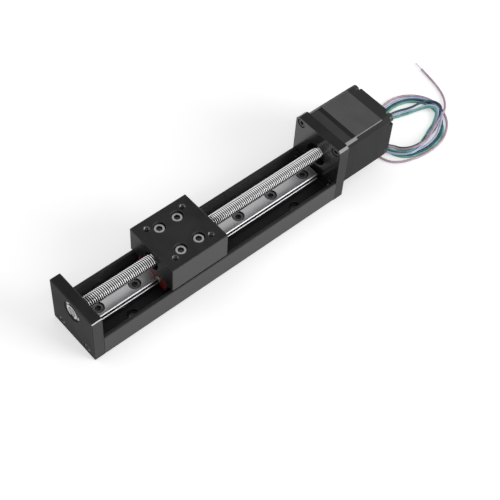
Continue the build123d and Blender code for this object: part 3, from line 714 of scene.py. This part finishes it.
@dataclass(frozen=True)
class LeadCoil:
    """The motor's four leads: down from the motor, then round and round in a loose coil.

    Args:
        diameter: Diameter of a lead.
        spacing: Distance between neighbouring lanes.
        middle_route: Points of the middle of the four leads, down to the coil.
        red_tail: Points of the red lead's free end.
        centre: Middle of the coil.
        half_sizes: Half length and half width of the coil's outermost turn.
        skew: How far the oval leans.
        turn_points: Points in one turn of a lead.
        rest: Height of a lead that lies on the floor, in millimetres.
    """

    diameter: float = 1.2 * MM
    spacing: float = 1.45 * MM
    middle_route: tuple = (
        (0.1007, 0.0155, 0.0145), (0.1007, 0.0198, 0.0145), (0.1022, 0.0240, 0.0114),
        (0.1068, 0.0242, 0.0066), (0.1114, 0.0220, 0.0028), (0.1144, 0.0182, 0.0012),
        (0.1150, 0.0136, 0.0010), (0.1140, 0.0096, 0.0012), (0.1122, 0.0060, 0.0018),
    )
    red_tail: tuple = (
        (0.1297, -0.0175, 0.0025), (0.1360, -0.0149, 0.0019), (0.1420, -0.0126, 0.0019),
        (0.1478, -0.0104, 0.0022), (0.1539, -0.0074, 0.0011), (0.1594, -0.0009, 0.0006),
        (0.1624, 0.0084, 0.0006), (0.1642, 0.0196, 0.0006),
    )
    centre: tuple[float, float] = (0.1285, -0.0044)
    half_sizes: tuple[float, float] = (0.0234, 0.0180)
    skew: float = 0.05
    turn_points: int = 30
    rest: float = 0.6

    def route(self, lead: Lead) -> np.ndarray:
        """Return a lead's points down to the coil.

        Each is the middle route's point moved level by the lane, square to the line from the point
        before to the point after.

        Args:
            lead: The lead.

        Returns:
            The points.
        """
        points = np.array(self.middle_route)
        padded = np.concatenate([points[:1], points, points[-1:]])
        forward = (padded[2:] - padded[:-2])[:, :2]
        forward /= np.linalg.norm(forward, axis=1, keepdims=True)
        points[:, :2] += WAYS[lead].lane * self.spacing * forward[:, ::-1] * (-1, 1)
        return points

    def turns(self, lead: Lead) -> np.ndarray:
        """Return a lead's points round the coil, between the places that its keys name.

        A point is the centre plus the half size less the way in, times the cosine or the sine of
        the angle, times one plus the skew times the sine of twice the angle.

        Args:
            lead: The lead.

        Returns:
            The points.
        """
        angles, inward, heights = np.array([(*key, self.rest)[:3] for key in WAYS[lead].keys]).T
        count = int(round((angles[-1] - angles[0]) / 360 * self.turn_points))
        angle = np.linspace(angles[0], angles[-1], count)
        turn = np.radians(angle)
        reach = np.array(self.half_sizes) - np.interp(angle, angles, inward)[:, None] * MM
        lean = 1 + self.skew * np.sin(2 * turn[:, None])
        level = self.centre + reach * np.stack([np.cos(turn), np.sin(turn)], axis=-1) * lean
        return np.column_stack([level, np.interp(angle, angles, heights) * MM])

    def build(self, effects: Effects) -> None:
        """Args:
            effects: The shared effects.
        """
        leads = []
        for lead in Lead:
            points = np.concatenate([self.route(lead), self.turns(lead)])
            if lead is Lead.RED:
                points = np.concatenate([points, self.red_tail])
            leads.append(self.curve(lead, points))
            leads[-1].data.materials.append(WAYS[lead].jacket.material(effects))
            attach(leads[-1], "base")
            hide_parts("lead_" + lead.value)
            log.info("%s: %d points", leads[-1].name, len(points))
        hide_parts("lead_red_tail", "wire_coil")

    def curve(self, lead: Lead, points: np.ndarray) -> bpy.types.Object:
        """Make one lead as a smooth curve with a round section.

        Args:
            lead: The lead.
            points: Its control points.

        Returns:
            The curve object.
        """
        data = bpy.data.curves.new("lead_curve_" + lead.value, "CURVE")
        data.dimensions = "3D"
        data.bevel_depth = self.diameter / 2
        data.bevel_resolution = 4
        data.resolution_u = 6
        data.use_fill_caps = True
        spline = data.splines.new("NURBS")
        spline.points.add(len(points) - 1)
        spline.points.foreach_set("co", np.column_stack([points, np.ones(len(points))]).ravel())
        spline.order_u = 3
        spline.use_endpoint_u = True
        return placed("lead_curve_" + lead.value, data)


def placed(name: str, data: bpy.types.ID) -> bpy.types.Object:
    """Make an object and put it into the scene.

    Args:
        name: Name of the object.
        data: Its mesh, curve, lamp or camera.

    Returns:
        The object.
    """
    item = bpy.data.objects.new(name, data)
    bpy.context.scene.collection.objects.link(item)
    return item


def full_turn(sides: int) -> np.ndarray:
    """Return evenly spaced angles round one turn, in radians."""
    return np.arange(sides) / sides * 2 * pi


def dressed(piece: bpy.types.Object, body: str, slot: str, *materials: bpy.types.Material) -> None:
    """Give a new mesh its materials and body, and report it.

    Args:
        piece: The piece.
        body: The body that it rides.
        slot: Its material slot; not used.
        *materials: Its materials.
    """
    for material in materials:
        piece.data.materials.append(material)
    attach(piece, body)
    log.info("%s: %d faces", piece.name, len(piece.data.polygons))


@dataclass(frozen=True)
class ThreadedScrew:
    """The lead screw with its rolled thread, and its plain journals.

    Args:
        axis_height: Height of the screw's axis.
        pitch: Distance from one turn of the thread to the next.
        outer: Radius over the thread.
        root: Radius at the bottom of the thread.
        journal: Radius of the journals.
        core: Radius inside the thread.
        thread: Where the thread starts and ends along X.
        journals: Where the journals start and end along X.
        chamfer: Size of the chamfer at the motor's end.
        front_chamfer: Size of the chamfer at the bearing's end.
        groove: Where the clip's groove starts and ends along X.
        groove_radius: Radius at the bottom of the clip's groove.
        sides: Points round one turn.
    """

    axis_height: float = 20.0 * MM
    pitch: float = 1.0 * MM
    outer: float = 3.0 * MM
    root: float = 2.45 * MM
    journal: float = 2.49 * MM
    core: float = 2.2 * MM
    thread: tuple[float, float] = (-68.45 * MM, 69.0 * MM)
    journals: tuple[float, float] = (-73.15 * MM, 103.3 * MM)
    chamfer: float = 0.25 * MM
    front_chamfer: float = 0.08 * MM
    groove: tuple[float, float] = (-73.05 * MM, -72.45 * MM)
    groove_radius: float = 2.25 * MM
    sides: int = 40

    def build(self, effects: Effects) -> None:
        """Make the thread and the journals in place of the plain screw.

        Args:
            effects: The shared effects.
        """
        for piece, finish in ((self.build_thread(), SCREW_STEEL), (self.build_journals(), SHAFT_STEEL)):
            dressed(piece, "screw", "bright_steel", effects.material(finish))
            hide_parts("lead_screw")

    def build_thread(self) -> bpy.types.Object:
        """Make the thread: a profile of crest, flank and root drawn along a helix.

        The radius is the crest's or the root's, and drops to the journal at the ends.

        Returns:
            The piece.
        """
        steps = ((0.0, self.root), (0.16, self.root), (0.42, self.outer), (0.56, self.outer),
                 (0.82, self.root))
        place, reach = helix(*self.thread, self.pitch, steps, self.sides, self.journal)
        return self.mesh("screw_thread", place, reach, len(steps))

    def build_journals(self) -> bpy.types.Object:
        """Make the journals: a turned profile with small chamfers and the clip's groove.

        Returns:
            The piece.
        """
        start, end = self.journals
        small = self.chamfer
        thread = (self.thread[0] + small, self.thread[1] - small)
        profile = [(start, 0.0), (start, self.journal - self.front_chamfer),
                   (self.groove[0], self.groove_radius), (self.groove[1], self.groove_radius),
                   (self.groove[1], self.journal), (thread[0], self.journal), (thread[0], self.core),
                   (thread[1], self.core), (thread[1], self.journal), (end - small, self.journal),
                   (end, self.journal - small), (end, 0.0)]
        place, reach = np.array(profile).T[..., None]
        return self.mesh("screw_journals", place, reach)

    def mesh(self, name: str, place: np.ndarray, reach: np.ndarray, shift: int = 0) -> bpy.types.Object:
        """Return a piece round the screw's axis, of places along it and radii."""
        grid = revolved((0, 0, self.axis_height), (1, 0, 0), place, reach, self.sides)
        return grid_mesh(name, [grid], shift)


SOCKET_ROWS = 3
CHAMFER_SHARE = 0.1
RIM_SHARE = 1.3


@dataclass(frozen=True)
class SocketScrews:
    """The socket-head screws of one node: heads with a chamfer, a six-sided socket and a shank.

    Args:
        node: The node that they replace.
        sizes: Thread radius, head radius, head height, socket width, socket depth and shank length,
            in millimetres.
        seats: Places of the head's underside.
        up: Direction that the heads point in, along X or Z.
        body: The body that they ride.
        slot: The material slot.
        finish: Finish of the heads.
        sides: Points round one turn.
    """

    node: str
    sizes: tuple[float, ...]
    seats: tuple[tuple[float, float, float], ...]
    up: tuple[int, int, int] = (0, 0, 1)
    body: str = "base"
    slot: str = "black_screw"
    finish: Finish = BLACK_SCREW
    sides: int = 36

    def build(self, effects: Effects) -> None:
        """Make the screws in place of the node's plain ones, with painted shade in the sockets.

        Args:
            effects: The shared effects.
        """
        grids = [self.grid(seat) for seat in self.seats]
        piece = grid_mesh(self.node + "_detail", grids, sharp=30)
        rows = grids[0].shape[0] - 1
        row = np.arange(len(piece.data.polygons)) // self.sides % rows
        dressed(piece, self.body, self.slot, effects.material(self.finish), effects.material(SOCKET_SHADE))
        # The socket's rows get the painted shade.
        piece.data.polygons.foreach_set("material_index", (row >= rows - SOCKET_ROWS).astype(np.int32))
        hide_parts(self.node)

    def grid(self, seat: tuple[float, float, float]) -> np.ndarray:
        """Return one screw's points: rows of radius and height turned about its axis.

        The socket's radius at an angle is half its width over the cosine of the angle from the
        middle of the nearest flat.

        Args:
            seat: Middle of the head's underside.

        Returns:
            The points, as rows, columns and coordinates.
        """
        thread, head, height, width, depth, length = (size * MM for size in self.sizes)
        angle = full_turn(self.sides)
        flat = width / 2 / np.cos(angle % (pi / 3) - pi / 6)
        chamfer = CHAMFER_SHARE * height
        rim = RIM_SHARE * chamfer
        rows = [(0.0, -length), (thread - chamfer, -length), (thread, chamfer - length), (thread, 0.0),
                (head, 0.0), (head, height - rim), (head - rim, height), ((head + width) / 3, height),
                (flat + chamfer / 2, height), (flat, height - chamfer), (flat, height - depth),
                (0.0, height - depth - 2 * chamfer)]
        radius = np.stack([np.broadcast_to(reach, self.sides) for reach, _ in rows])
        level = np.array([[height] for _, height in rows])
        return revolved(seat, self.up, level, radius, self.sides)


@dataclass(frozen=True)
class TappedThreads:
    """The bare threads in the table's four tapped holes.

    Args:
        places: Middles of the holes.
        top: Height of the first turn.
        bottom: Height of the last turn.
        pitch: Distance from one turn to the next.
        outer: Radius at the bottom of the thread's groove.
        inner: Radius over the thread's crests.
        mouth: Radii and heights of the mouth's lower and upper edges.
        sides: Points round one turn.
    """

    places: tuple[tuple[float, float], ...] = ((-0.025, -0.01), (-0.025, 0.01), (-0.005, -0.01),
                                               (-0.005, 0.01))
    top: float = 27.45 * MM
    bottom: float = 22.5 * MM
    pitch: float = 0.5 * MM
    outer: float = 1.25 * MM
    inner: float = 0.98 * MM
    mouth: tuple = ((1.24 * MM, 27.41 * MM), (1.62 * MM, 27.79 * MM))
    sides: int = 24

    def build(self, effects: Effects) -> None:
        """Make the threads and the holes' mouths.

        Args:
            effects: The shared effects.
        """
        steps = ((0.0, self.outer), (0.12, self.outer), (0.5, self.inner), (0.62, self.inner))
        level, reach = helix(self.bottom, self.top, self.pitch, steps, self.sides, self.outer)
        self.holes("table_threads", level, reach, effects.material(CUT_ALUMINIUM), len(steps))
        reach, level = np.array(self.mouth).T[..., None]
        self.holes("table_thread_mouths", level, reach, effects.material(MOUTH_ALUMINIUM))

    def holes(self, name: str, level: np.ndarray, reach: np.ndarray, material: bpy.types.Material,
              turn_shift: int = 0) -> None:
        """Make a surface in each hole.

        Args:
            name: Name of the piece.
            level: Heights, as rows and columns.
            reach: Radii, as rows and columns.
            material: The piece's material.
            turn_shift: How many rows on the last column meets the first.
        """
        grids = [revolved((x, y, 0), (0, 0, 1), level, reach, self.sides) for x, y in self.places]
        dressed(grid_mesh(name, grids, turn_shift, inward=True), "carriage", "black_anodised", material)


def revolved(middle: tuple[float, float, float], axis: tuple[int, int, int], along: np.ndarray,
             reach: np.ndarray, sides: int) -> np.ndarray:
    """Return the points of a surface round an axis.

    A point is the middle, plus the axis times the place along it, plus the radius times the sum of
    one direction across by the cosine of the angle and the other by the sine.

    Args:
        middle: A point on the axis.
        axis: Direction of the axis, along X or Z.
        along: Places along the axis, as rows and columns.
        reach: Radii, as rows and columns.
        sides: Points round one turn.

    Returns:
        The points, as rows, columns and coordinates.
    """
    angle = full_turn(sides)[:, None]
    across = np.array((1, 0, 0) if axis[2] else (0, 1, 0))
    outward = across * np.cos(angle) + np.cross(axis, across) * np.sin(angle)
    return middle + np.array(axis) * along[..., None] + outward * reach[..., None]


def helix(start: float, end: float, pitch: float, steps: tuple[tuple[float, float], ...], sides: int,
          rest: float) -> tuple[np.ndarray, np.ndarray]:
    """Return a thread's places along its axis and its radii.

    The place is the profile's own place plus one pitch for each turn, kept between the ends.

    Args:
        start: Where the thread starts along its axis.
        end: Where it ends.
        pitch: Distance from one turn to the next.
        steps: The profile: shares of the pitch and radii.
        sides: Points round one turn.
        rest: Radius beyond the ends.

    Returns:
        The places and radii, as rows and columns.
    """
    turns = np.arange(-2, int((end - start) / pitch) + 2)
    along = (turns[:, None] + np.array([step[0] for step in steps])).ravel() * pitch
    radius = np.tile([step[1] for step in steps], len(turns))
    place = start + along[:, None] + pitch * full_turn(sides) / (2 * pi)
    reach = np.where((place < start) | (place > end), rest, radius[:, None])
    return np.clip(place, start, end), reach


def grid_mesh(name: str, grids: list[np.ndarray], turn_shift: int = 0, inward: bool = False,
              sharp: float | None = None) -> bpy.types.Object:
    """Make a mesh of grids of points whose rows run round an axis.

    Args:
        name: Name of the piece.
        grids: Points of each grid, as rows, columns and coordinates.
        turn_shift: How many rows on the last column meets the first, on a helix.
        inward: Whether the faces look towards the axis.
        sharp: Angle in degrees over which an edge is sharp, if any is.

    Returns:
        The object.
    """
    rows, columns = grids[0].shape[:2]
    row = np.arange(rows - 1 - turn_shift)[:, None]
    column = np.arange(columns)[None, :]
    following = (column + 1) % columns
    later = np.where(column == columns - 1, row + turn_shift, row)
    corners = np.stack([row * columns + column, (row + 1) * columns + column,
                        (later + 1) * columns + following, later * columns + following], axis=-1)
    corners = corners.reshape(-1, 4)
    if not inward:
        corners = corners[:, ::-1]
    faces = np.concatenate([corners + number * rows * columns for number in range(len(grids))])
    mesh = bpy.data.meshes.new(name)
    mesh.from_pydata(np.concatenate([grid.reshape(-1, 3) for grid in grids]).tolist(), [], faces.tolist())
    mesh.update()
    mesh.polygons.foreach_set("use_smooth", np.ones(len(mesh.polygons), dtype=bool))
    if sharp is not None:
        mesh.set_sharp_from_angle(angle=radians(sharp))
    return placed(name, mesh)


@dataclass(frozen=True)
class Studio:
    """The pale floor, the background and the lamps.

    Args:
        floor_size: Side of the floor.
        floor_drop: Depth of the floor under the object.
        floor_white: Brightness of the floor's surface.
        floor_glow: Light that the floor adds where it is seen.
        lamps: Name, place, side and power in watts of each lamp.
        aim: Point that the lamps face.
        ambient: Strength of the even light from all round.
        sky: Strength of the background in gloss, at the horizon and straight above.
    """

    floor_size: float = 6.0
    floor_drop: float = 0.0002
    floor_white: float = 0.86
    floor_glow: float = 0.42
    lamps: tuple = (("key", (0.5, -0.88, 0.46), 0.6, 6.5), ("fill", (-0.5, 0.5, 1.1), 0.9, 1.6))
    aim: tuple[float, float, float] = (0.02, 0, 0.01)
    ambient: float = 0.5
    sky: tuple[float, float] = (0.8, 0.78)

    def build(self) -> None:
        """Make the floor, world and lamps."""
        self.build_floor()
        self.build_world()
        for name, place, size, power in self.lamps:
            data = bpy.data.lights.new(name, "AREA")
            data.size = size
            data.energy = power
            lamp = placed(name, data)
            lamp.location = place
            lamp.rotation_euler = (Vector(place) - Vector(self.aim)).to_track_quat("Z", "Y").to_euler()

    def build_floor(self) -> None:
        """Make the floor: white, with the object's shadow left on it."""
        half = self.floor_size / 2
        mesh = bpy.data.meshes.new("floor")
        mesh.from_pydata([(-half, -half, 0), (half, -half, 0), (half, half, 0), (-half, half, 0)], [],
                         [(0, 1, 2, 3)])
        floor = placed("floor", mesh)
        floor.location.z = -self.floor_drop
        material = bpy.data.materials.new("floor")
        material.use_nodes = True
        graph = NodeGraph(material.node_tree)
        shader = material.node_tree.nodes["Principled BSDF"].inputs
        path = graph.add("ShaderNodeLightPath").outputs
        seen = graph.maths("MAXIMUM", path["Is Camera Ray"], path["Is Glossy Ray"])
        seen = graph.maths("MAXIMUM", seen, path["Is Transmission Ray"])
        for title, value in (("Base Color", (self.floor_white,) * 3), ("Roughness", 0.9),
                             ("Specular IOR Level", 0.0), ("Emission Color", (1, 1, 1)),
                             ("Emission Strength", graph.maths("MULTIPLY", seen, self.floor_glow))):
            graph.fill(shader[title], value)
        mesh.materials.append(material)

    def build_world(self) -> None:
        """Make the background: white where it is seen, darker overhead in gloss, soft as a light."""
        world = bpy.data.worlds.new("studio")
        world.use_nodes = True
        bpy.context.scene.world = world
        graph = NodeGraph(world.node_tree)
        background = world.node_tree.nodes["Background"].inputs
        parts = graph.add("ShaderNodeSeparateXYZ", {0: graph.add("ShaderNodeTexCoord").outputs["Generated"]})
        sky = graph.spread(parts.outputs["Z"], 0, 1, self.sky)
        path = graph.add("ShaderNodeLightPath").outputs
        lit = graph.maths("MULTIPLY", graph.maths("SUBTRACT", sky, self.ambient), path["Is Glossy Ray"])
        lit = graph.maths("ADD", lit, self.ambient)
        seen = graph.maths("MAXIMUM", path["Is Camera Ray"], path["Is Transmission Ray"])
        share = graph.maths("MULTIPLY", graph.maths("SUBTRACT", 1.0, lit), seen)
        graph.fill(background["Color"], (1, 1, 1))
        graph.fill(background["Strength"], graph.maths("ADD", share, lit))


def socket_screws() -> list[SocketScrews]:
    """List the slide's socket-head screws.

    Returns:
        The screws of each node.
    """
    m3 = (1.5, 2.75, 3.0, 2.5, 1.5)
    m2_5 = (1.25, 2.25, 2.5, 2.0, 1.2)
    m2 = (1.0, 1.9, 2.0, 1.5, 1.0)
    signs = (-1, 1)
    table = tuple((-0.015 + a * 0.005, b * 0.0075, 0.0238) for a in signs for b in signs)
    along_rail = tuple((number * 0.02, 0.0, 0.0075) for number in range(-3, 4))
    front_plate, motor_plate = (tuple((x, a * 0.0092, 0.0029) for a in signs) for x in (-0.07045, 0.07045))
    nut = tuple((-0.00085, a * 0.0068, 0.02) for a in signs)
    motor_front, motor_rear = (tuple((x, a * 0.0115, 0.02 + b * 0.0115) for a in signs for b in signs)
                               for x in (0.07055, 0.10135))
    left, right = (-1, 0, 0), (1, 0, 0)
    silver = {"body": "carriage", "slot": "silver_screw", "finish": SILVER_SCREW}
    return [
        SocketScrews("table_screws", (*m3, 12.0), table, **silver),
        SocketScrews("rail_screws", (*m3, 6.0), along_rail),
        SocketScrews("front_plate_screws", (*m2_5, 8.0), front_plate, left),
        SocketScrews("motor_plate_screws", (*m2_5, 8.0), motor_plate, right),
        SocketScrews("motor_screws", (*m2_5, 5.0), motor_front, left),
        SocketScrews("motor_rear_screws", (*m2_5, 25.0), motor_rear, right, finish=DARK_SCREW),
        SocketScrews("nut_screws", (*m2, 6.0), nut, right, **silver),
    ]


def dress_nodes(effects: Effects) -> None:
    """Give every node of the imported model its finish.

    Args:
        effects: The shared effects.
    """
    for finish, names in FINISH_OF_NODE.items():
        material = effects.material(finish)
        for name in names:
            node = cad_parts[name]
            for slot in node.material_slots:
                slot.material = material
        log.info("finish %s on %d nodes", finish.name, len(names))


def main() -> None:
    """Make the whole scene."""
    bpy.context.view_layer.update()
    CameraView().build()
    effects = Effects()
    LeadCoil().build(effects)
    Studio().build()
    dress_nodes(effects)
    ThreadedScrew().build(effects)
    for screws in socket_screws():
        screws.build(effects)
    TappedThreads().build(effects)
    bpy.context.scene.view_settings.view_transform = "Standard"


if __name__ == "__main__":
    main()
